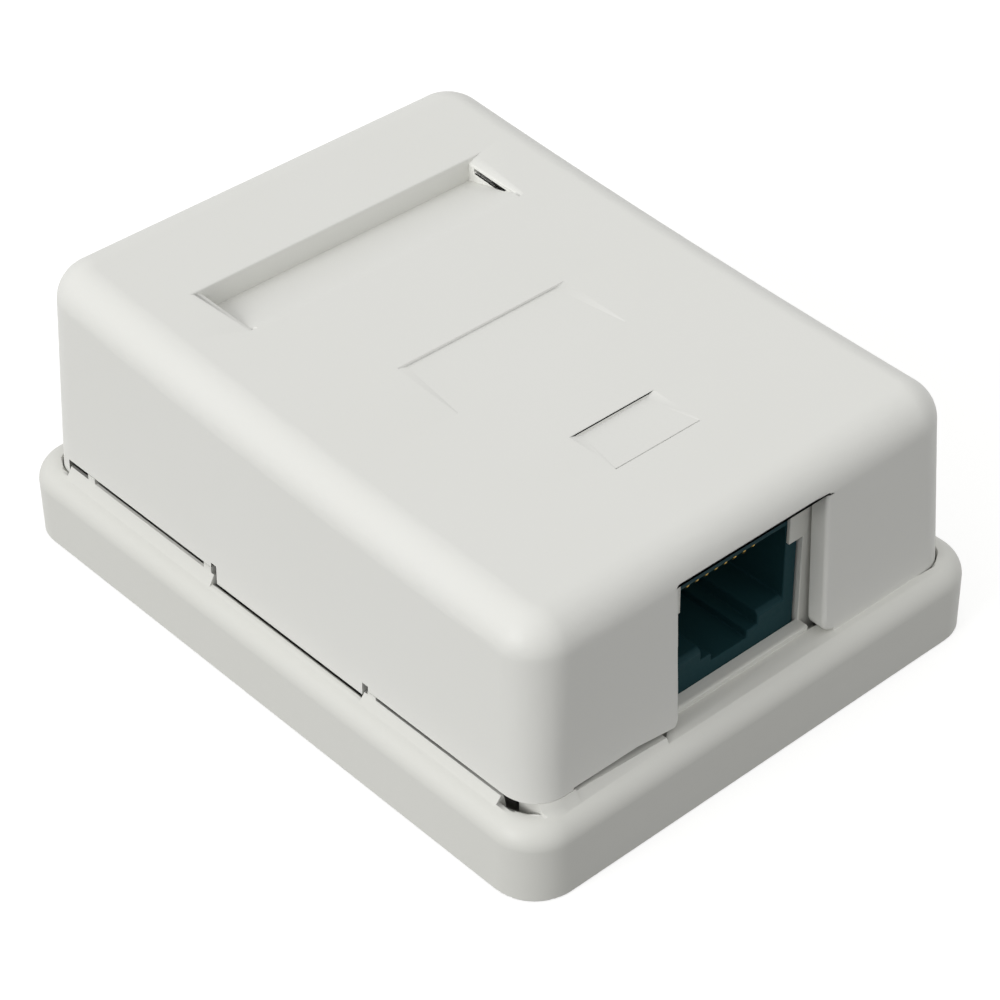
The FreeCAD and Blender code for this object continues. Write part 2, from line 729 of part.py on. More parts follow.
def contact_path(x):
    """Line, arc and line: along the top of the port, round the bend and back down to the comb."""
    end = vec(x, board_back, contact_run_height)
    bend_start = vec(x, face_y + contact_bend_from_face + contact_bend_r, contact_run_height)
    centre = vec(x, bend_start.y, contact_run_height - contact_bend_r)
    tip = vec(x, face_y + contact_tip_back + 0.2, contact_tip_height)
    reach = tip - centre
    distance = math.hypot(reach.y, reach.z)
    lean = math.atan2(reach.z, reach.y)
    swing = lean - math.acos(contact_bend_r / distance)
    bend_end = centre + vec(0, math.cos(swing), math.sin(swing)) * contact_bend_r
    middle_angle = (math.pi / 2 + swing + 2 * math.pi) / 2
    bend_middle = centre + vec(0, math.cos(middle_angle), math.sin(middle_angle)) * contact_bend_r
    return Part.Wire([
        Part.makeLine(end, bend_start),
        Part.Arc(bend_start, bend_middle, bend_end).toShape(),
        Part.makeLine(bend_end, tip),
    ])


def make_contact(x):
    path = contact_path(x)
    section = Part.Wire(Part.makeCircle(contact_r, path.Vertexes[0].Point, vec(0, 1, 0)))
    return path.makePipeShell([section], True, True)


def make_board():
    board = box(-board_half, board_half, housing_back, board_back, jack_bottom + board_margin,
                jack_top - board_margin)
    corner_edges = [e for e in board.Edges if e.BoundBox.YLength > 1]
    board = board.makeFillet(0.5, corner_edges)
    holes = [Part.makeCylinder(contact_r, board_thick + 2 * EDGE,
                               vec(x, housing_back - EDGE, contact_run_height), vec(0, 1, 0))
             for x in contact_places]
    for z in slot_heights:
        for x in (-tower_middle, tower_middle):
            holes.append(box(x - 0.4, x + 0.4, housing_back - EDGE, board_back + EDGE, z - 0.6, z + 0.6))
    return board.cut(Part.makeCompound(holes))


def make_tower(side):
    """Wire tower with four slots open to the back, pointed fingers and a pocket for each clip."""
    low, high = jack_bottom + board_margin, jack_top - board_margin
    body = box(tower_inner, tower_outer, board_back, tower_back, low, high)
    tip_edges = [e for e in body.Edges if e.CenterOfMass.y > tower_back - 0.01 and e.BoundBox.ZLength > 1]
    body = body.makeChamfer(0.8, tip_edges)
    cuts = []
    for z in slot_heights:
        half = tower_slot / 2
        slot_front = tower_back - tower_slot_depth
        cuts.append(polygon_prism([
            vec(tower_inner - EDGE, slot_front, z - half),
            vec(tower_inner - EDGE, tower_back - 1.2, z - half),
            vec(tower_inner - EDGE, tower_back + 0.1, z - half - 0.6),
            vec(tower_inner - EDGE, tower_back + 0.1, z + half + 0.6),
            vec(tower_inner - EDGE, tower_back - 1.2, z + half),
            vec(tower_inner - EDGE, slot_front, z + half),
        ], vec(tower_outer - tower_inner + 2 * EDGE, 0, 0)))
        cuts.append(box(tower_middle - clip_thick / 2 - clip_room, tower_middle + clip_thick / 2 + clip_room,
                        board_back - EDGE, tower_back - clip_from_tip + 0.2,
                        z - clip_half_height - clip_room, z + clip_half_height + clip_room))
    tower = body.cut(Part.makeCompound(cuts))
    return tower if side > 0 else tower.mirror(vec(0, 0, 0), vec(1, 0, 0))


def make_clip(side, z):
    """Insulation-displacement clip: a forked plate with a pin through the board."""
    front = board_back
    back = tower_back - clip_from_tip
    x0 = side * tower_middle - clip_thick / 2
    half_slit = clip_slit / 2
    outline = [
        vec(x0, front, z - clip_half_height),
        vec(x0, back, z - clip_half_height),
        vec(x0, back, z - clip_half_height + 0.35),
        vec(x0, back - 0.9, z - half_slit),
        vec(x0, back - clip_slit_depth, z - half_slit),
        vec(x0, back - clip_slit_depth, z + half_slit),
        vec(x0, back - 0.9, z + half_slit),
        vec(x0, back, z + clip_half_height - 0.35),
        vec(x0, back, z + clip_half_height),
        vec(x0, front, z + clip_half_height),
        vec(x0, front, z + 0.45),
        vec(x0, housing_back + 0.1, z + 0.45),
        vec(x0, housing_back + 0.1, z - 0.45),
        vec(x0, front, z - 0.45),
    ]
    return polygon_prism(outline, vec(clip_thick, 0, 0))


def make_cap(side):
    """Wire cap: a plate over the tower's tips, with a rib into each slot and a lip top and bottom."""
    low, high = jack_bottom + board_margin, jack_top - board_margin
    front = tower_back
    plate = box(tower_inner, tower_outer, front, front + cap_thick, low - cap_lip, high + cap_lip)
    outer_edges = [e for e in plate.Edges
                   if e.CenterOfMass.y > front + cap_thick - 0.01 and e.BoundBox.ZLength > 1]
    plate = plate.makeFillet(0.5, outer_edges)
    parts = []
    for lip_low, lip_high in ((low - cap_lip, low - cap_lip_gap), (high + cap_lip_gap, high + cap_lip)):
        parts.append(box(tower_inner, tower_outer, front - cap_lip_reach, front + 0.1, lip_low, lip_high))
    clip_side = clip_thick / 2 + 0.4
    for z in slot_heights:
        for x0, x1 in ((tower_inner + 0.2, tower_middle - clip_side),
                       (tower_middle + clip_side, tower_outer - 0.2)):
            parts.append(box(x0, x1, front - cap_rib_reach, front + 0.1, z - cap_rib_thick / 2,
                             z + cap_rib_thick / 2))
    cap = fuse_all(plate, parts)
    return cap if side > 0 else cap.mirror(vec(0, 0, 0), vec(1, 0, 0))


def make_pad():
    half_x, half_y = pad_width / 2 - pad_edge_gap, pad_length / 2 - pad_edge_gap
    return rounded_block(half_x, half_y, 1.2, liner_thickness, pad_pocket)


def make_liner():
    half_x, half_y = pad_width / 2 - pad_edge_gap, pad_length / 2 - pad_edge_gap
    return rounded_block(half_x, half_y, 1.2, 0, liner_thickness)


def build():
    pieces = {
        "base": make_base(),
        "cover": make_cover(),
        "jack_housing": make_housing(),
        "contact_carrier": make_carrier(),
        "jack_board": make_board(),
        "foam_pad": make_pad(),
        "pad_liner": make_liner(),
    }
    for number, x in enumerate(contact_places, 1):
        pieces[f"contact_wire_{number}"] = make_contact(x)
    for name, side in (("left", -1), ("right", 1)):
        pieces[f"wire_tower_{name}"] = make_tower(side)
        pieces[f"wire_cap_{name}"] = make_cap(side)
        for number, z in enumerate(slot_heights, 1):
            pieces[f"wire_clip_{name}_{number}"] = make_clip(side, z)
    return pieces


os.makedirs("parts", exist_ok=True)
for node, shape in build().items():
    solids = len(shape.Solids)
    print(f"{node}: {solids} solid, valid {shape.isValid()}, {shape.Volume:.1f} mm3")
    shape.exportStep(f"parts/{node}.step")
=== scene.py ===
# %% [markdown]
# # Surface mount jack box
#
# A low two-piece box of warm off-white ABS: a shallow tray that is stuck or screwed down, and a cover
# that drops over it. A dark data jack stands in a bay of the tray and looks out of the front. The solid
# model gives every piece and its place; this file gives them their plastics and metals, softens the
# moulded edges, adds the small things a solid model leaves out, and sets the light and the camera.

# %% Load the solid model
import math
import bmesh
import bpy
from mathutils import Matrix, Vector


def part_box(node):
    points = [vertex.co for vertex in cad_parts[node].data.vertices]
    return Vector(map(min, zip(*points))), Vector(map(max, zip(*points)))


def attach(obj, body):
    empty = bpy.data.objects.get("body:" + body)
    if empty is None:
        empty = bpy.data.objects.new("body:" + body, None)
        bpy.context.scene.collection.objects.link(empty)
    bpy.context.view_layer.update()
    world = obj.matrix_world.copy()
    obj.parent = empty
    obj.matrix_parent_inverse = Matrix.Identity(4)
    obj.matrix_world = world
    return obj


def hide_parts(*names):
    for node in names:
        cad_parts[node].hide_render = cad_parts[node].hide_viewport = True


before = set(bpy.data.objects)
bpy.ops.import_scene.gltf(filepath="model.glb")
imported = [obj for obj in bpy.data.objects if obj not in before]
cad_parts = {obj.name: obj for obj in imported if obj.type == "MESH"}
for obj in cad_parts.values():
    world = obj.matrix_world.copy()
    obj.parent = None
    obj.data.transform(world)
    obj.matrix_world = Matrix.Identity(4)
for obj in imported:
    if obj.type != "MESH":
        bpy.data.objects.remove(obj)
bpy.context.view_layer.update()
MM = 0.001
BASE = "base_unit"
COVER = "cover_unit"

# %% [markdown]
# ## Helpers
# Colours are written as the hex values a painter would read off a swatch. Blender's shaders work in
# linear light, so one function converts them. A second one adds a shader node, sets it and joins it up,
# which keeps every material below to a few lines, and a third one starts an empty material.

# %% Colour and node helpers
def linear(hex_colour):
    """sRGB hex text to the linear RGBA that the shaders want."""
    channels = [int(hex_colour[i:i + 2], 16) / 255 for i in (0, 2, 4)]
    return [c / 12.92 if c <= 0.04045 else ((c + 0.055) / 1.055) ** 2.4 for c in channels] + [1.0]


def add_node(tree, kind, settings=None, inputs=None):
    """Add one node; inputs may hold plain values or the output sockets to link from."""
    node = tree.nodes.new(kind)
    for name, value in (settings or {}).items():
        setattr(node, name, value)
    for name, value in (inputs or {}).items():
        socket = node.inputs[name]
        if isinstance(value, bpy.types.NodeSocket):
            tree.links.new(value, socket)
        else:
            socket.default_value = value
    return node


def new_material(name):
    """Empty node material with its output node, ready for a shader."""
    material = bpy.data.materials.new(name)
    material.use_nodes = True
    material.node_tree.nodes.clear()
    output = material.node_tree.nodes.new("ShaderNodeOutputMaterial")
    return material, material.node_tree, output

# %% [markdown]
# ## Moulded ABS
# The box is injection-moulded ABS from a spark-eroded mould: a dead-even, faintly pearly satin. Close
# up its skin is a grain of soft pits about 0.2 mm apart, and the colour drifts a little where the
# melt flowed. Two noises do it: a fine one for the grain, as bump and roughness, and a broad one for
# the drift. The colour stays almost flat, because a real moulding's does. A spark-eroded skin scatters
# most of what it reflects, so its specular level is half the usual 0.5. The jack is a matt dark teal
# polycarbonate, its inserts are nearly black, and its wire caps are a glossier white.

# %% Moulded plastic
DRIFT_MM = 18.0       # size of the patches that the melt's flow leaves in the colour
GLOSS_SPREAD = 0.05   # how far a pattern moves the roughness to either side
PLASTIC_IOR = 1.53


def moulded_plastic(name, colour, drift_colour, roughness, grain_mm, grain_height_mm, specular):
    """Satin or semi-gloss thermoplastic with a fine mould grain."""
    material, tree, output = new_material(name)
    place = add_node(tree, "ShaderNodeTexCoord")
    drift = add_node(tree, "ShaderNodeTexNoise", inputs={
        "Vector": place.outputs["Object"], "Scale": 1 / (DRIFT_MM * MM), "Detail": 3.0, "Roughness": 0.5})
    tint = add_node(tree, "ShaderNodeMix", {"data_type": "RGBA"}, {
        "Factor": drift.outputs["Fac"], "A": linear(colour), "B": linear(drift_colour)})
    grain = add_node(tree, "ShaderNodeTexNoise", inputs={
        "Vector": place.outputs["Object"], "Scale": 1 / (grain_mm * MM), "Detail": 2.0, "Roughness": 0.6})
    matt = add_node(tree, "ShaderNodeMapRange", inputs={
        "Value": grain.outputs["Fac"], "From Min": 0.3, "From Max": 0.7,
        "To Min": roughness - GLOSS_SPREAD, "To Max": roughness + GLOSS_SPREAD})
    skin = add_node(tree, "ShaderNodeBump", inputs={
        "Height": grain.outputs["Fac"], "Distance": grain_height_mm * MM, "Strength": 1.0})
    shader = add_node(tree, "ShaderNodeBsdfPrincipled", inputs={
        "Base Color": tint.outputs["Result"], "Roughness": matt.outputs["Result"],
        "Normal": skin.outputs["Normal"], "IOR": PLASTIC_IOR, "Specular IOR Level": specular})
    tree.links.new(shader.outputs["BSDF"], output.inputs["Surface"])
    return material


ABS_SKIN = {"roughness": 0.44, "grain_mm": 0.22, "grain_height_mm": 0.003, "specular": 0.25}
JACK_SKIN = {"roughness": 0.55, "grain_mm": 0.30, "grain_height_mm": 0.001, "specular": 0.08}
INSERT_SKIN = {"roughness": 0.40, "grain_mm": 0.30, "grain_height_mm": 0.002, "specular": 0.3}
CAP_SKIN = {"roughness": 0.30, "grain_mm": 0.30, "grain_height_mm": 0.002, "specular": 0.5}
cover_abs = moulded_plastic("cover_abs_satin", "DFDFDB", "DDDDD8", **ABS_SKIN)
base_abs = moulded_plastic("base_abs_satin", "D6D6D1", "D4D4CE", **ABS_SKIN)
jack_pc = moulded_plastic("jack_polycarbonate", "19373C", "1B393E", **JACK_SKIN)
tower_pc = moulded_plastic("tower_polycarbonate", "1B2426", "20282A", **INSERT_SKIN)
carrier_pc = moulded_plastic("carrier_polycarbonate", "16201F", "1B2524", **INSERT_SKIN)
cap_pc = moulded_plastic("wire_cap_polycarbonate", "D6D8D4", "D0D3CF", **CAP_SKIN)
print("plastics:", len(bpy.data.materials))

# %% [markdown]
# ## Board, foam and liner
# The circuit board is glass cloth in resin under a green solder mask, so the weave shows as a faint
# grid about 0.5 mm apart. The mounting pad is closed-cell foam: its skin is full of shallow round
# cells, and the middle of each cell is painted darker as the shade in its hollow. Its liner is waxed
# paper with long soft fibres, cut across the middle so that it peels in halves. Each is one pattern
# that drives bump and colour together.

# %% Patterned materials
def patterned(name, colour, pattern_colour, roughness, height_mm, build_pattern, specular=0.5):
    """Material whose one pattern mixes two colours and raises the surface."""
    material, tree, output = new_material(name)
    place = add_node(tree, "ShaderNodeTexCoord")
    pattern = build_pattern(tree, place.outputs["Object"])
    tint = add_node(tree, "ShaderNodeMix", {"data_type": "RGBA"}, {
        "Factor": pattern, "A": linear(colour), "B": linear(pattern_colour)})
    skin = add_node(tree, "ShaderNodeBump", inputs={
        "Height": pattern, "Distance": height_mm * MM, "Strength": 1.0})
    matt = add_node(tree, "ShaderNodeMapRange", inputs={
        "Value": pattern, "To Min": roughness - GLOSS_SPREAD, "To Max": roughness + GLOSS_SPREAD})
    shader = add_node(tree, "ShaderNodeBsdfPrincipled", inputs={
        "Base Color": tint.outputs["Result"], "Roughness": matt.outputs["Result"],
        "Normal": skin.outputs["Normal"], "Specular IOR Level": specular})
    tree.links.new(shader.outputs["BSDF"], output.inputs["Surface"])
    return material


THREAD_MM, CELL_MM, FIBRE_MM = 0.5, 0.4, 0.15
BAND_SCALE = 0.314                     # the wave texture's scale for bands one unit apart
CUT_HALF_MM, CUT_EDGE_MM = 0.10, 0.16  # half width of the liner's cut, and where it has faded out
ALONG_Y = (1.0, 0.1, 1.0)              # makes a pattern ten times as long along Y as it is wide


def glass_weave(tree, place):
    """Over-and-under grid of glass cloth in the plane of an upright board."""
    bands = [add_node(tree, "ShaderNodeTexWave", {"bands_direction": way}, {
        "Vector": place, "Scale": BAND_SCALE / (THREAD_MM * MM), "Distortion": 0.4})
        for way in ("X", "Z")]
    grid = add_node(tree, "ShaderNodeMath", {"operation": "MULTIPLY"}, {
        0: bands[0].outputs["Fac"], 1: bands[1].outputs["Fac"]})
    return grid.outputs[0]


def foam_cells_and_painted_shade(tree, place):
    """Round cells, dimpled and painted darker at their middles as shade in the hollows."""
    cells = add_node(tree, "ShaderNodeTexVoronoi", {"feature": "SMOOTH_F1"}, {
        "Vector": place, "Scale": 1 / (CELL_MM * MM), "Smoothness": 0.4})
    return cells.outputs["Distance"]


def paper_fibres(tree, place):
    """Fibres ten times as long as they are wide, and the cut across the middle of the liner."""
    stretch = add_node(tree, "ShaderNodeMapping", inputs={"Vector": place, "Scale": ALONG_Y})
    fibres = add_node(tree, "ShaderNodeTexNoise", inputs={
        "Vector": stretch.outputs["Vector"], "Scale": 1 / (FIBRE_MM * MM), "Detail": 3.0})
    along = add_node(tree, "ShaderNodeSeparateXYZ", inputs={"Vector": place})
    off_middle = add_node(tree, "ShaderNodeMath", {"operation": "ABSOLUTE"}, {0: along.outputs["Y"]})
    cut = add_node(tree, "ShaderNodeMapRange", inputs={
        "Value": off_middle.outputs[0], "From Min": CUT_HALF_MM * MM, "From Max": CUT_EDGE_MM * MM,
        "To Min": 1.0, "To Max": 0.0})
    both = add_node(tree, "ShaderNodeMath", {"operation": "MAXIMUM"}, {
        0: fibres.outputs["Fac"], 1: cut.outputs["Result"]})
    return both.outputs[0]


board_mask = patterned("board_solder_mask", "14502E", "1A5C37", roughness=0.30, height_mm=0.004,
                       build_pattern=glass_weave)
# The foam's colour is painted darker at each cell's dimpled middle: painted shade in the hollows.
foam = patterned("closed_cell_foam", "B9B6AE", "DAD7CF", roughness=0.88, height_mm=0.06,
                 build_pattern=foam_cells_and_painted_shade, specular=0.2)
liner = patterned("waxed_liner_paper", "EADFC0", "CFC39C", roughness=0.45, height_mm=0.006,
                  build_pattern=paper_fibres)
print("patterned materials ready:", [m.name for m in (board_mask, foam, liner)])

# %% [markdown]
# ## Contact metals
# The eight contacts are phosphor-bronze spring wire flashed with gold. The insulation clips are
# stamped from tinned strip, and the solder joints share their metal. All are drawn or rolled, so a
# fine streak, ten times as long as it is wide, breaks up the reflection.

# %% Plated metals
STREAK_SPREAD, STREAK_HEIGHT_MM = 0.06, 0.002


def plated_metal(name, colour, roughness, streak_mm):
    """Bright plating over drawn or stamped metal."""
    material, tree, output = new_material(name)
    place = add_node(tree, "ShaderNodeTexCoord")
    stretch = add_node(tree, "ShaderNodeMapping", inputs={
        "Vector": place.outputs["Object"], "Scale": ALONG_Y})
    streak = add_node(tree, "ShaderNodeTexNoise", inputs={
        "Vector": stretch.outputs["Vector"], "Scale": 1 / (streak_mm * MM), "Detail": 2.0})
    polish = add_node(tree, "ShaderNodeMapRange", inputs={
        "Value": streak.outputs["Fac"],
        "To Min": roughness - STREAK_SPREAD, "To Max": roughness + STREAK_SPREAD})
    skin = add_node(tree, "ShaderNodeBump", inputs={
        "Height": streak.outputs["Fac"], "Distance": STREAK_HEIGHT_MM * MM, "Strength": 1.0})
    shader = add_node(tree, "ShaderNodeBsdfPrincipled", inputs={
        "Base Color": linear(colour), "Metallic": 1.0, "Roughness": polish.outputs["Result"],
        "Normal": skin.outputs["Normal"]})
    tree.links.new(shader.outputs["BSDF"], output.inputs["Surface"])
    return material


gold_flash = plated_metal("gold_flashed_bronze", "D9B25F", roughness=0.24, streak_mm=0.08)
tin_plate = plated_metal("tin_plated_bronze", "C6C6C0", roughness=0.34, streak_mm=0.10)
print("metals:", gold_flash.name, tin_plate.name)

# %% [markdown]
# ## Soft moulded edges
# A solid model meets itself at knife edges, but a mould is cut with a rounded tool and the plastic
# shrinks as it sets, so even the sharpest real edge has a radius of about a tenth of a millimetre. Such
# an edge catches a thin line of light. Each moulded piece is therefore copied, its flat facets are
# joined again, and its normals are weighted so that flats stay flat. A rule chooses which sharp edges
# are bevelled: all of them on a simple piece, and on the tray and the cover only those that are seen
# close up, because their thin lips and steps leave no room for a bevel. The copy stands for the solid.

# %% Edge helpers
SHARP = math.radians(28)         # a corner sharper than this is an edge, not part of a round
COPLANAR = math.radians(0.3)     # facets within this angle are one flat face
MERGE_MM = 0.0005
EDGE_SEGMENTS = 2


def merged_copy(node):
    """Editable copy of a solid's mesh, with its loose triangles joined at their corners."""
    shape = bmesh.new()
    shape.from_mesh(bpy.data.objects[node].data)
    bmesh.ops.remove_doubles(shape, verts=shape.verts, dist=MERGE_MM * MM)
    return shape


def plain_mesh(piece):
    """Apply a piece's modifiers and leave a plain mesh."""
    graph = bpy.context.evaluated_depsgraph_get()
    mesh = bpy.data.meshes.new_from_object(piece.evaluated_get(graph))
    piece.modifiers.clear()
    piece.data = mesh
    mesh.name = piece.name


def any_edge(middle, facing, convex):
    """Rule for a simple piece: every sharp edge is softened."""
    return True


def mark_soft_edges(mesh, chosen):
    """Mark a mesh's sharp edges that the rule chooses, for the bevel to find."""
    shape = bmesh.new()
    shape.from_mesh(mesh)
    weight = shape.edges.layers.float.new("bevel_weight_edge")
    for edge in shape.edges:
        if len(edge.link_faces) == 2 and edge.calc_face_angle() > SHARP:
            facing = edge.link_faces[0].normal + edge.link_faces[1].normal
            middle = (edge.verts[0].co + edge.verts[1].co) / 2 / MM
            edge[weight] = 1.0 if chosen(middle, facing, edge.is_convex) else 0.0
    shape.to_mesh(mesh)
    shape.free()


def moulded_piece(shape, name, material, edge_mm, chosen=any_edge):
    """Soften an edited copy's edges and give it smooth, weighted shading."""
    bmesh.ops.dissolve_limit(shape, angle_limit=COPLANAR, verts=shape.verts[:], edges=shape.edges[:])
    mesh = bpy.data.meshes.new(name)
    shape.to_mesh(mesh)
    shape.free()
    mesh.materials.append(material)
    mesh.shade_smooth()
    mesh.set_sharp_from_angle(angle=SHARP)
    piece = bpy.data.objects.new(name, mesh)
    bpy.context.collection.objects.link(piece)
    mark_soft_edges(mesh, chosen)
    soft = piece.modifiers.new("soft_edges", "BEVEL")
    soft.limit_method = "WEIGHT"
    soft.width = edge_mm * MM
    soft.segments = EDGE_SEGMENTS
    soft.use_clamp_overlap = False
    flats = piece.modifiers.new("flat_faces_win", "WEIGHTED_NORMAL")
    flats.keep_sharp = True
    plain_mesh(piece)
    print(name, "faces:", len(piece.data.polygons))
    return piece

# %% [markdown]
# ## The tray
# The tray's rim carries thin upstanding lips that locate the cover. Along the straight sides they are
# thin down to the foot, so that light goes past their steep inner side into the box. Where the jack
# looks out, the rim has a low sill that sits back against the jack. Both are small local changes of a
# copy of the solid: each corner point near them is moved by a rule, and the rest of the tray stays.

# %% Rules for the lips and the sill
RIM_TOP, LIP_THICK, LIP_FOOT_THICK = 7.0, 1.2, 0.38
RIM_HALF_X, RIM_HALF_Y, RIM_CORNER = 23.13, 30.38, 3.2
LIP_DEPTH, LIP_MATCH = 0.5, 0.04    # how far under the rim's top a foot may be, and how near its line
SILL_HALF = 7.66
SILL_FRONT, SILL_BACK, SILL_TOP = -30.56, -28.94, 8.3
LOW_SILL_FRONT, LOW_SILL_BACK, LOW_SILL_TOP = -28.96, -27.78, 7.45
SILL_DEPTH, SILL_MATCH = 0.1, 0.02  # the same two limits for the sill


def lip_rule(x, y, z):
    """Push the foot of a lip's inner side outwards, so that the lip is thin all the way down."""
    core_x = max(-RIM_HALF_X + RIM_CORNER, min(RIM_HALF_X - RIM_CORNER, x))
    core_y = max(-RIM_HALF_Y + RIM_CORNER, min(RIM_HALF_Y - RIM_CORNER, y))
    reach = math.hypot(x - core_x, y - core_y)
    at_corner = x != core_x and y != core_y
    at_foot = abs(reach - (RIM_CORNER - LIP_THICK)) < LIP_MATCH
    if z > RIM_TOP - LIP_DEPTH and not at_corner and at_foot:
        push = (RIM_CORNER - LIP_FOOT_THICK) / reach
        return core_x + (x - core_x) * push, core_y + (y - core_y) * push, z
    return x, y, z


def sill_rule(x, y, z):
    """Move the sill back to the jack and lower it."""
    on_sill = abs(x) < SILL_HALF and SILL_FRONT - SILL_MATCH < y < SILL_BACK + SILL_MATCH
    if on_sill and z > RIM_TOP - SILL_DEPTH:
        back = (y - SILL_FRONT) / (SILL_BACK - SILL_FRONT)
        rise = max(0.0, z - RIM_TOP) / (SILL_TOP - RIM_TOP)
        y = LOW_SILL_FRONT + back * (LOW_SILL_BACK - LOW_SILL_FRONT)
        z = min(z, RIM_TOP) + rise * (LOW_SILL_TOP - RIM_TOP)
    return x, y, z

# %% Tray with thin lips and a low sill
TRAY_EDGE = 0.06
SEEN_FRONT, SEEN_HALF, TURNED_BACK = -27.6, 7.7, 0.2   # where the edges are that are seen


def sill_edge(middle, facing, convex):
    """Rule for the tray: the sill and the bay strips beside it, apart from edges that face back."""
    near_front = middle.y < SEEN_FRONT and abs(middle.x) < SEEN_HALF
    return near_front and middle.z > RIM_TOP and facing.y < TURNED_BACK


tray_shape = merged_copy("base")
moved = 0
for vertex in tray_shape.verts:
    place = tuple(value / MM for value in vertex.co)
    new_place = lip_rule(*sill_rule(*place))
    if new_place != place:
        vertex.co = Vector(new_place) * MM
        moved += 1
print("tray corners moved:", moved)
tray = moulded_piece(tray_shape, "tray", base_abs, TRAY_EDGE, sill_edge)
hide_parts("base")
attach(tray, BASE)

# %% [markdown]
# ## The cover
# The cover's label recess has a slot at each end that holds the label window. A slot is a through
# opening in the mould, so it reads as a black line. A Boolean modifier with a narrow cutter under each
# slot opens the copy right through to the dark inside, along nearly the whole slot. An exact solver
# keeps the mesh closed.

# %% Open the label slots
SLOT_CUT_LOW, SLOT_CUT_HIGH = Vector((14.37, 12.7, 21.5)), Vector((15.90, 17.3, 25.06))


def slot_cutter():
    """Two narrow boxes, one under each label slot."""
    size = SLOT_CUT_HIGH - SLOT_CUT_LOW
    middle = (SLOT_CUT_HIGH + SLOT_CUT_LOW) / 2
    shape = bmesh.new()
    for side in (-1, 1):
        place = Matrix.Translation(Vector((side * middle.x, middle.y, middle.z)) * MM)
        bmesh.ops.create_cube(shape, size=1.0, matrix=place @ Matrix.Diagonal((*(size * MM), 1.0)))
    mesh = bpy.data.meshes.new("slot_cutter")
    shape.to_mesh(mesh)
    shape.free()
    cutter = bpy.data.objects.new("slot_cutter", mesh)
    bpy.context.collection.objects.link(cutter)
    return cutter


def open_slots(shape):
    """Cut the slots through an edited copy and return the cut copy."""
    mesh = bpy.data.meshes.new("slotted_cover")
    shape.to_mesh(mesh)
    shape.free()
    piece = bpy.data.objects.new("slotted_cover", mesh)
    bpy.context.collection.objects.link(piece)
    cutter = slot_cutter()
    cut = piece.modifiers.new("slots", "BOOLEAN")
    cut.operation, cut.solver, cut.object = "DIFFERENCE", "EXACT", cutter
    plain_mesh(piece)
    slotted = bmesh.new()
    slotted.from_mesh(piece.data)
    for used in (piece, cutter):
        bpy.data.objects.remove(used)
    open_edges = sum(1 for edge in slotted.edges if len(edge.link_faces) != 2)
    print("cover faces after the slots:", len(slotted.faces), "open edges:", open_edges)
    return slotted


cover_shape = open_slots(merged_copy("cover"))

# %% [markdown]
# On the cover the eye meets two kinds of edge: the outward ones of the recess and the steps on the top,
# and those round the opening for the jack. The inward corners of the top stay sharp, because a mould
# leaves those almost square.

# %% Soften the cover's seen edges
LID_EDGE = 0.13
TOP_FROM, TURNED_UP = 21.5, 0.2
OPENING_FRONT, OPENING_HALF, OPENING_TOP = -26.5, 8.4, 23.7


def outer_edge(middle, facing, convex):
    """Rule for the cover: the outward edges of its top, and every edge at the opening."""
    on_top = convex and middle.z > TOP_FROM and facing.z > TURNED_UP
    at_opening = middle.y < OPENING_FRONT and abs(middle.x) < OPENING_HALF and middle.z < OPENING_TOP
    return on_top or at_opening


lid = moulded_piece(cover_shape, "lid", cover_abs, LID_EDGE, outer_edge)
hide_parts("cover")
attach(lid, COVER)

# %% [markdown]
# ## Jack pieces
# The jack's housing, comb, wire towers and wire caps are small polycarbonate mouldings. They are solid
# already in every form that shows, so one loop copies each, softens all its edges and gives it its
# plastic.

# %% Soften the jack's mouldings
JACK_PIECES = {
    "jack_housing": ("jack_shell", jack_pc, "jack_plastic", 0.12),
    "contact_carrier": ("contact_comb", carrier_pc, "carrier_plastic", 0.05),
    "wire_tower_left": ("tower_left", tower_pc, "tower_plastic", 0.08),
    "wire_tower_right": ("tower_right", tower_pc, "tower_plastic", 0.08),
    "wire_cap_left": ("wire_cap_shell_left", cap_pc, "cap_plastic", 0.10),
    "wire_cap_right": ("wire_cap_shell_right", cap_pc, "cap_plastic", 0.10),
}
for node, (name, material, slot, edge_mm) in JACK_PIECES.items():
    piece = moulded_piece(merged_copy(node), name, material, edge_mm)
    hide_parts(node)
    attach(piece, BASE)

# %% [markdown]
# ## Board, pad and clips
# A circuit board is a plate cut from sheet, a foam pad and its liner are die-cut, and the clips are
# stamped. Their real edges are square, so they keep the solid model's shapes and only take materials.

# %% Give the other solid pieces their materials
FINISH = {"jack_board": board_mask, "foam_pad": foam, "pad_liner": liner}
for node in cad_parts:
    if node.startswith("wire_clip"):
        FINISH[node] = tin_plate
for node, material in FINISH.items():
    for slot in bpy.data.objects[node].material_slots:
        slot.material = material
print("finished nodes:", len(FINISH))

# %% [markdown]
# ## Geometry trees
# What repeats is grown by Geometry Nodes: the eight spring contacts, the solder joints, and the rings
# that ejector pins leave inside each moulding. One helper makes a tree with named inputs, and another
# runs it on a carrier mesh and keeps the result as a plain mesh.

# %% Tree helpers
def new_tree(name, inputs):
    """Geometry tree with a geometry in and out, and a named input for each size."""
    tree = bpy.data.node_groups.new(name, "GeometryNodeTree")
    tree.interface.new_socket("Geometry", in_out="INPUT", socket_type="NodeSocketGeometry")
    tree.interface.new_socket("Geometry", in_out="OUTPUT", socket_type="NodeSocketGeometry")
    for label, kind in inputs.items():
        tree.interface.new_socket(label, in_out="INPUT", socket_type="NodeSocket" + kind)
    return tree, tree.nodes.new("NodeGroupInput"), tree.nodes.new("NodeGroupOutput")


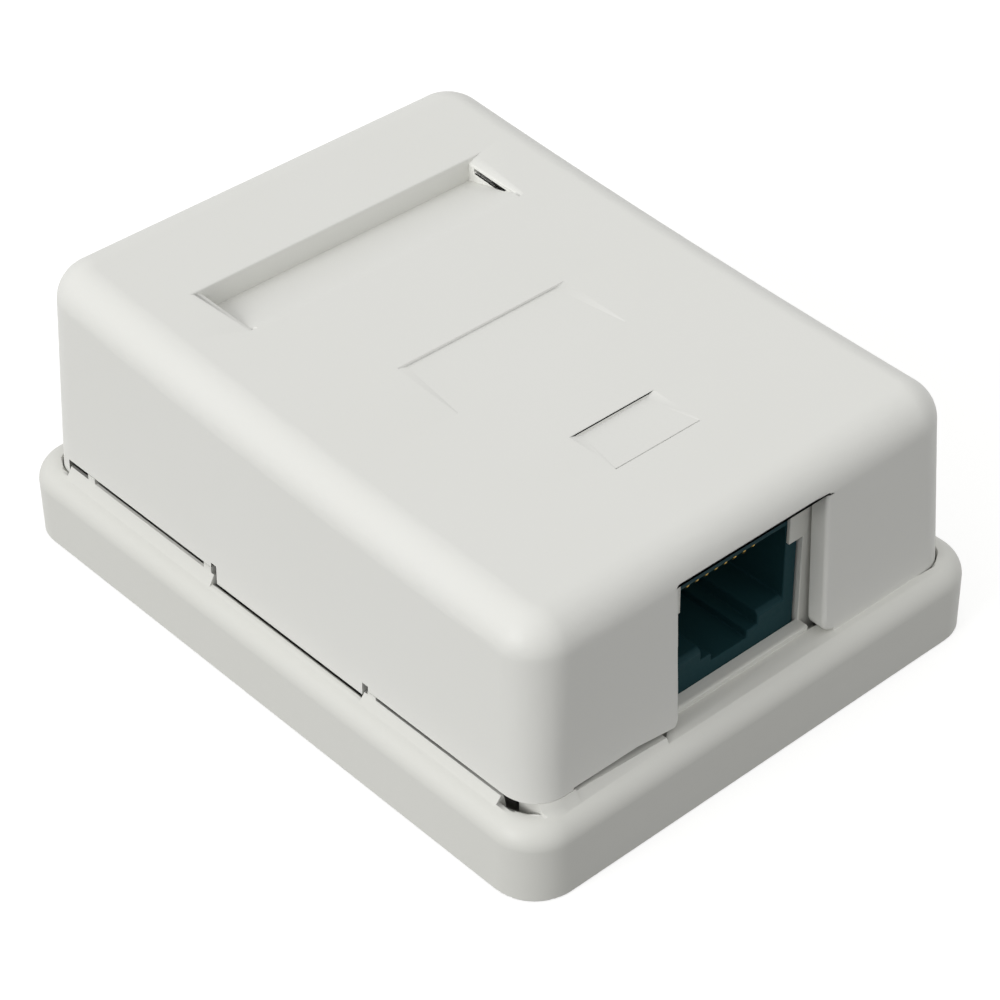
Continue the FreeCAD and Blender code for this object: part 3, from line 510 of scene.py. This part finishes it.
def close_tree(tree, instances, material, output):
    """Turn instances into real geometry, give it its material and end the tree."""
    real = add_node(tree, "GeometryNodeRealizeInstances", inputs={"Geometry": instances})
    smooth = add_node(tree, "GeometryNodeSetShadeSmooth", inputs={"Geometry": real.outputs[0]})
    finish = add_node(tree, "GeometryNodeSetMaterial", inputs={
        "Geometry": smooth.outputs[0], "Material": material})
    tree.links.new(finish.outputs[0], output.inputs[0])


def grow(name, points, edges, tree, values):
    """Run a tree on a carrier of points and edges, and return the result as a plain mesh piece."""
    carrier_mesh = bpy.data.meshes.new(name)
    carrier_mesh.from_pydata([Vector(p) * MM for p in points], edges, [])
    piece = bpy.data.objects.new(name, carrier_mesh)
    bpy.context.collection.objects.link(piece)
    modifier = piece.modifiers.new(tree.name, "NODES")
    modifier.node_group = tree
    for item in tree.interface.items_tree:
        if item.in_out == "INPUT" and item.name in values:
            modifier[item.identifier] = values[item.name]
    plain_mesh(piece)
    print(name, "faces:", len(piece.data.polygons))
    return piece

# %% [markdown]
# ## Spring contacts
# A contact is one round wire: it lies along the roof of the port, folds back on itself just inside the
# opening and leans down to the comb at the back. The carrier is that one route, as points and edges.
# The tree sweeps a round section along it and repeats it at the contact pitch.

# %% Contact wires
WIRE_RADIUS, WIRE_BEND, WIRE_COUNT = 0.23, 0.55, 8
TIP_Y, TIP_Z = -18.10, 13.50      # where the wire's tip lies, in its groove of the comb
BEND_STEPS, SECTION_POINTS = 14, 12
first_low, first_high = (Vector(corner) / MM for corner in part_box("contact_wire_1"))
second_low = Vector(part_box("contact_wire_2")[0]) / MM
pitch = second_low.x - first_low.x
wire_x = (first_low.x + first_high.x) / 2
run_z = first_high.z - WIRE_RADIUS
bend_y = first_low.y + WIRE_RADIUS + WIRE_BEND
tip = Vector((wire_x, TIP_Y, TIP_Z))
bend_centre = Vector((wire_x, bend_y, run_z - WIRE_BEND))

# The bend runs round from the roof to where the straight line to the tip leaves it as a tangent.
lean = math.atan2(tip.z - bend_centre.z, tip.y - bend_centre.y)
swing = lean - math.acos(WIRE_BEND / (tip - bend_centre).length)
wire_route = [(wire_x, first_high.y, run_z)]
for step in range(BEND_STEPS + 1):
    angle = math.pi / 2 + (swing + 2 * math.pi - math.pi / 2) * step / BEND_STEPS
    wire_route.append((wire_x, bend_centre.y + WIRE_BEND * math.cos(angle),
                       bend_centre.z + WIRE_BEND * math.sin(angle)))
wire_route.append(tuple(tip))

wire_tree, wire_in, wire_out = new_tree("Spring contacts", {
    "Wire radius": "Float", "Step": "Vector", "Count": "Int", "Plating": "Material"})
route = add_node(wire_tree, "GeometryNodeMeshToCurve", inputs={"Mesh": wire_in.outputs["Geometry"]})
section = add_node(wire_tree, "GeometryNodeCurvePrimitiveCircle", inputs={
    "Resolution": SECTION_POINTS, "Radius": wire_in.outputs["Wire radius"]})
wire = add_node(wire_tree, "GeometryNodeCurveToMesh", inputs={
    "Curve": route.outputs[0], "Profile Curve": section.outputs[0], "Fill Caps": True})
row = add_node(wire_tree, "GeometryNodeMeshLine", inputs={
    "Count": wire_in.outputs["Count"], "Start Location": (0, 0, 0), "Offset": wire_in.outputs["Step"]})
wires = add_node(wire_tree, "GeometryNodeInstanceOnPoints", inputs={
    "Points": row.outputs[0], "Instance": wire.outputs[0]})
close_tree(wire_tree, wires.outputs[0], wire_in.outputs["Plating"], wire_out)

contacts = grow("spring_contacts", wire_route, [(i, i + 1) for i in range(len(wire_route) - 1)],
                wire_tree, {"Wire radius": WIRE_RADIUS * MM, "Step": (pitch * MM, 0.0, 0.0),
                            "Count": WIRE_COUNT, "Plating": gold_flash})
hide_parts(*[f"contact_wire_{number + 1}" for number in range(WIRE_COUNT)])
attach(contacts, BASE)

# %% [markdown]
# ## Solder joints
# Each contact's tail ends in a pad on the back of the board, and the solder climbs it in a small
# hollow-sided cone. The tree puts one cone on every point: a tapered tube whose rings are drawn in
# faster near the foot than near the top.

# %% Solder joints
JOINT_RADIUS, JOINT_HEIGHT, JOINT_WAIST = 0.44, 0.34, 0.56
JOINT_SINK = 0.02                 # the foot goes this far into the board, so that no gap shows
JOINT_SIDES, JOINT_RINGS = 20, 5
joint_tree, joint_in, joint_out = new_tree("Solder joints", {
    "Foot radius": "Float", "Height": "Float", "Waist": "Float", "Metal": "Material"})
tube = add_node(joint_tree, "GeometryNodeMeshCylinder", {"fill_type": "NGON"}, {
    "Vertices": JOINT_SIDES, "Side Segments": JOINT_RINGS, "Radius": joint_in.outputs["Foot radius"],
    "Depth": joint_in.outputs["Height"]})
# Each point's share of the height, from 0 at the foot to 1 at the top, sets how far it is drawn in.
at = add_node(joint_tree, "GeometryNodeInputPosition")
parts = add_node(joint_tree, "ShaderNodeSeparateXYZ", inputs={"Vector": at.outputs[0]})
share = add_node(joint_tree, "ShaderNodeMath", {"operation": "DIVIDE"}, {
    0: parts.outputs["Z"], 1: joint_in.outputs["Height"]})
climb = add_node(joint_tree, "ShaderNodeMath", {"operation": "ADD", "use_clamp": True}, {
    0: share.outputs[0], 1: 0.5})
bent = add_node(joint_tree, "ShaderNodeMath", {"operation": "POWER"}, {0: climb.outputs[0], 1: 0.5})
drawn = add_node(joint_tree, "ShaderNodeMath", {"operation": "MULTIPLY"}, {
    0: bent.outputs[0], 1: joint_in.outputs["Waist"]})
keep = add_node(joint_tree, "ShaderNodeMath", {"operation": "SUBTRACT"}, {0: 1.0, 1: drawn.outputs[0]})
narrow = add_node(joint_tree, "ShaderNodeCombineXYZ", inputs={
    "X": keep.outputs[0], "Y": keep.outputs[0], "Z": 1.0})
hollow = add_node(joint_tree, "ShaderNodeVectorMath", {"operation": "MULTIPLY"}, {
    0: at.outputs[0], 1: narrow.outputs[0]})
cone = add_node(joint_tree, "GeometryNodeSetPosition", inputs={
    "Geometry": tube.outputs["Mesh"], "Position": hollow.outputs[0]})
joints = add_node(joint_tree, "GeometryNodeInstanceOnPoints", inputs={
    "Points": joint_in.outputs["Geometry"], "Instance": cone.outputs[0],
    "Rotation": (-math.pi / 2, 0.0, 0.0)})
close_tree(joint_tree, joints.outputs[0], joint_in.outputs["Metal"], joint_out)

board_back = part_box("jack_board")[1][1] / MM
joint_y = board_back + JOINT_HEIGHT / 2 - JOINT_SINK
joint_places = [(wire_x + pitch * i, joint_y, run_z) for i in range(WIRE_COUNT)]
solder = grow("solder_joints", joint_places, [], joint_tree, {
    "Foot radius": JOINT_RADIUS * MM, "Height": JOINT_HEIGHT * MM, "Waist": JOINT_WAIST,
    "Metal": tin_plate})
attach(solder, BASE)

# %% [markdown]
# ## Ejector marks
# Steel pins push a moulding out of its mould and leave a faint round ring wherever one touched. They
# are always on the hidden side. Points are spread over the inside and thrown against the moulding
# with Raycast, up in the cover and down in the tray, so each ring lies on the surface that it meets.

# %% Ejector marks
MARK_RADIUS, MARK_PROUD = 1.6, 0.05
MARK_THROW = 30.0
MARK_POINTS, BEAD_POINTS = 40, 8
mark_tree, mark_in, mark_out = new_tree("Ejector marks", {
    "Moulding": "Object", "Aim": "Vector", "Ring radius": "Float", "Ring height": "Float",
    "Plastic": "Material"})
moulding = add_node(mark_tree, "GeometryNodeObjectInfo", inputs={"Object": mark_in.outputs["Moulding"]})
throw = add_node(mark_tree, "GeometryNodeRaycast", inputs={
    "Target Geometry": moulding.outputs["Geometry"], "Ray Direction": mark_in.outputs["Aim"],
    "Ray Length": MARK_THROW * MM})
landed = add_node(mark_tree, "GeometryNodeSetPosition", inputs={
    "Geometry": mark_in.outputs["Geometry"], "Position": throw.outputs["Hit Position"]})
rim = add_node(mark_tree, "GeometryNodeCurvePrimitiveCircle", inputs={
    "Resolution": MARK_POINTS, "Radius": mark_in.outputs["Ring radius"]})
bead = add_node(mark_tree, "GeometryNodeCurvePrimitiveCircle", inputs={
    "Resolution": BEAD_POINTS, "Radius": mark_in.outputs["Ring height"]})
ring = add_node(mark_tree, "GeometryNodeCurveToMesh", inputs={
    "Curve": rim.outputs[0], "Profile Curve": bead.outputs[0]})
facing = add_node(mark_tree, "FunctionNodeAlignRotationToVector", inputs={
    "Vector": throw.outputs["Hit Normal"]})
stamped = add_node(mark_tree, "GeometryNodeInstanceOnPoints", inputs={
    "Points": landed.outputs[0], "Instance": ring.outputs[0], "Rotation": facing.outputs[0],
    "Selection": throw.outputs["Is Hit"]})
close_tree(mark_tree, stamped.outputs[0], mark_in.outputs["Plastic"], mark_out)

LID_MARK_FROM, TRAY_MARK_FROM = 16.0, 4.5   # heights from which the points are thrown
MARKS = {
    "lid_ejector_marks": (lid, COVER, "cover_plastic", cover_abs, (0, 0, 1),
                          [(x, y, LID_MARK_FROM) for x in (-14, 14) for y in (-6, 8, 22)]),
    "tray_ejector_marks": (tray, BASE, "base_plastic", base_abs, (0, 0, -1),
                           [(x, y, TRAY_MARK_FROM) for x in (-16.5, 16.5) for y in (-20, 24)]),
}
for name, (piece, body, slot, material, aim, places) in MARKS.items():
    marks = grow(name, places, [], mark_tree, {
        "Moulding": piece, "Aim": aim, "Ring radius": MARK_RADIUS * MM,
        "Ring height": MARK_PROUD * MM, "Plastic": material})
    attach(marks, body)

# %% [markdown]
# ## Floor, light and camera
# A product picture is usually brightened until its background is pure white, although the real board
# is not as bright as that. So the floor and the sky each have two faces. The camera and the reflections
# see them white. Bounced light meets a dark grey board and a slightly dimmer sky, which keeps the low
# walls from being lit from below. The floor lies a hair under the box, so that the two surfaces never
# share a plane.

# %% Floor and sky
def white_stage(name, seen_colour, bounce_colour, lift):
    """Board that is seen as white, with its shadow kept, and that bounces light like a grey one."""
    material, tree, output = new_material(name)
    ray = add_node(tree, "ShaderNodeLightPath")
    seen = add_node(tree, "ShaderNodeMath", {"operation": "MAXIMUM"}, {
        0: ray.outputs["Is Camera Ray"], 1: ray.outputs["Is Glossy Ray"]})
    tone = add_node(tree, "ShaderNodeMix", {"data_type": "RGBA"}, {
        "Factor": seen.outputs[0], "A": linear(bounce_colour), "B": linear(seen_colour)})
    board = add_node(tree, "ShaderNodeBsdfDiffuse", inputs={"Color": tone.outputs["Result"]})
    strength = add_node(tree, "ShaderNodeMath", {"operation": "MULTIPLY"}, {
        0: seen.outputs[0], 1: lift})
    glow = add_node(tree, "ShaderNodeEmission", inputs={"Strength": strength.outputs[0]})
    both = add_node(tree, "ShaderNodeAddShader", inputs={0: board.outputs[0], 1: glow.outputs[0]})
    tree.links.new(both.outputs[0], output.inputs["Surface"])
    return material


FLOOR_SIZE, FLOOR_DROP = 6.0, 0.05      # metres, and mm below the box
FLOOR_SEEN, FLOOR_BOUNCE, FLOOR_LIFT = "A8A8A6", "3C3C3B", 0.72
SKY_LEVEL = 0.77
bpy.ops.mesh.primitive_plane_add(size=FLOOR_SIZE, location=(0, 0, -FLOOR_DROP * MM))
floor = bpy.context.object
floor.name = "studio_floor"
floor.data.materials.append(white_stage("floor_board", FLOOR_SEEN, FLOOR_BOUNCE, FLOOR_LIFT))

world = bpy.data.worlds.new("studio_sky")
world.use_nodes = True
bpy.context.scene.world = world
sky = world.node_tree
sky.nodes.clear()
sky_ray = add_node(sky, "ShaderNodeLightPath")
sky_seen = add_node(sky, "ShaderNodeMath", {"operation": "MAXIMUM"}, {
    0: sky_ray.outputs["Is Camera Ray"], 1: sky_ray.outputs["Is Glossy Ray"]})
sky_level = add_node(sky, "ShaderNodeMapRange", inputs={
    "Value": sky_seen.outputs[0], "To Min": SKY_LEVEL, "To Max": 1.0})
sky_colour = add_node(sky, "ShaderNodeBackground", inputs={
    "Color": linear("FFFFFF"), "Strength": sky_level.outputs["Result"]})
add_node(sky, "ShaderNodeOutputWorld", inputs={"Surface": sky_colour.outputs[0]})
print("floor:", floor.name, "sky level:", SKY_LEVEL)

# %% [markdown]
# The main light is a window to the left of the box. It is far away and large, so it is a sun lamp whose
# angle is wide: the angle that a lamp fills is what makes its shadows soft.

# %% Window light
KEY_FROM = Vector((-0.91, 0.05, 0.41)).normalized()
KEY_STRENGTH, KEY_ANGLE = 1.52, 30
key = bpy.data.objects.new("window_light", bpy.data.lights.new("window_light", "SUN"))
key.data.energy = KEY_STRENGTH
key.data.angle = math.radians(KEY_ANGLE)
key.rotation_euler = KEY_FROM.to_track_quat("Z", "Y").to_euler()
bpy.context.collection.objects.link(key)
print("window light, degrees above the floor:", round(math.degrees(math.asin(KEY_FROM.z))))

# %% [markdown]
# A small product is taken from a little way off with a long lens, which keeps its upright edges almost
# parallel. The camera is given its place, the two angles of the line that it looks back along, and a
# slight roll. Three axes built from those make its turn.

# %% Camera
CAMERA_PLACE = Vector((-131.63, -149.30, 165.05)) * MM
CAMERA_AZIMUTH, CAMERA_RISE, CAMERA_ROLL = (math.radians(a) for a in (-41.64, 38.39, -0.83))
SENSOR_MM, LENS_MM = 36.0, 110.02
back = Vector((math.sin(CAMERA_AZIMUTH) * math.cos(CAMERA_RISE),
               -math.cos(CAMERA_AZIMUTH) * math.cos(CAMERA_RISE), math.sin(CAMERA_RISE)))
right = (-back).cross(Vector((0, 0, 1))).normalized()
up = right.cross(-back)
cos_roll, sin_roll = math.cos(CAMERA_ROLL), math.sin(CAMERA_ROLL)
axis_x = right * cos_roll + up * sin_roll
axis_y = up * cos_roll - right * sin_roll
camera = bpy.data.objects.new("camera", bpy.data.cameras.new("camera"))
camera.data.sensor_width = SENSOR_MM
camera.data.lens = LENS_MM
turn = Matrix((axis_x, axis_y, back)).transposed()
camera.matrix_world = Matrix.Translation(CAMERA_PLACE) @ turn.to_4x4()
bpy.context.collection.objects.link(camera)
bpy.context.scene.camera = camera
bpy.context.scene.view_settings.view_transform = "Standard"
print("camera distance, mm:", round(CAMERA_PLACE.length / MM), "lens, mm:", LENS_MM)
